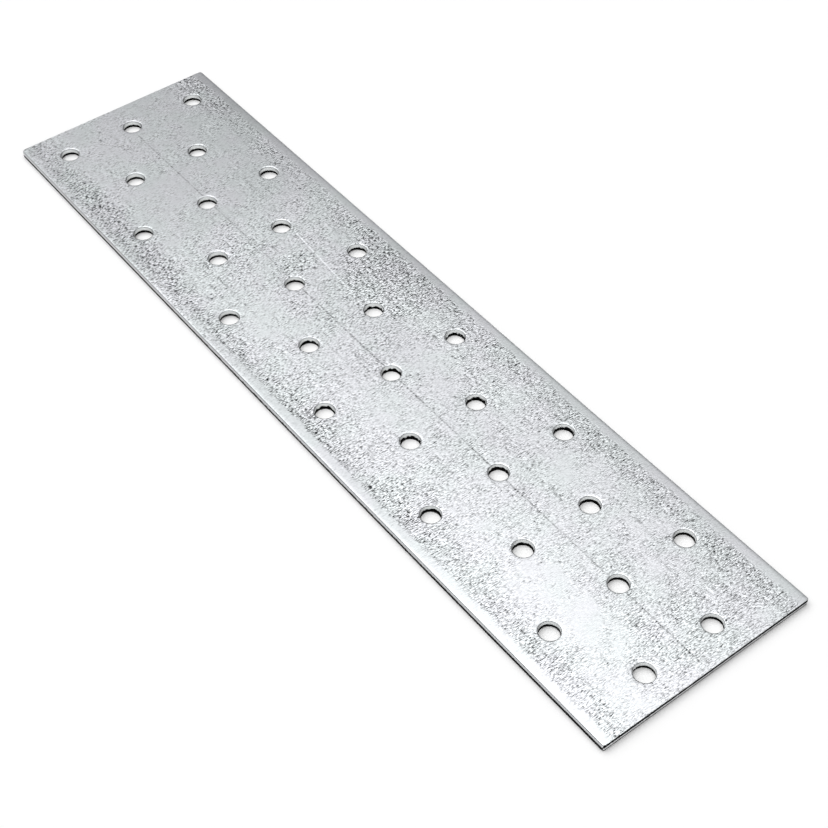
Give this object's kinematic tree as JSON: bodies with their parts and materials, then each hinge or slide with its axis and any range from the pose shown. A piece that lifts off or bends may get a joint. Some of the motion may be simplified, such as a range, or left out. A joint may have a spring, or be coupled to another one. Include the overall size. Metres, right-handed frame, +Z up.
{
  "type": "mending plate",
  "caption": "Flat galvanised steel nail plate, perforated with staggered rows of round nail holes, for joining two timbers that lie in one plane.",
  "frame": {"origin": "centre of the underside, under the middle of the plate's box", "axes": "+Z up out of the top face, +X along the plate towards the end with the shorter margin, +Y across it"},
  "size_m": [0.238, 0.06, 0.002],
  "materials": {
    "galvanised_steel": "hot-dip galvanised sheet, pale grey and satin, with fine dark rolling scratches"
  },
  "bodies": {
    "root": {"nail_plate": "galvanised_steel"}
  },
  "joints": []
}
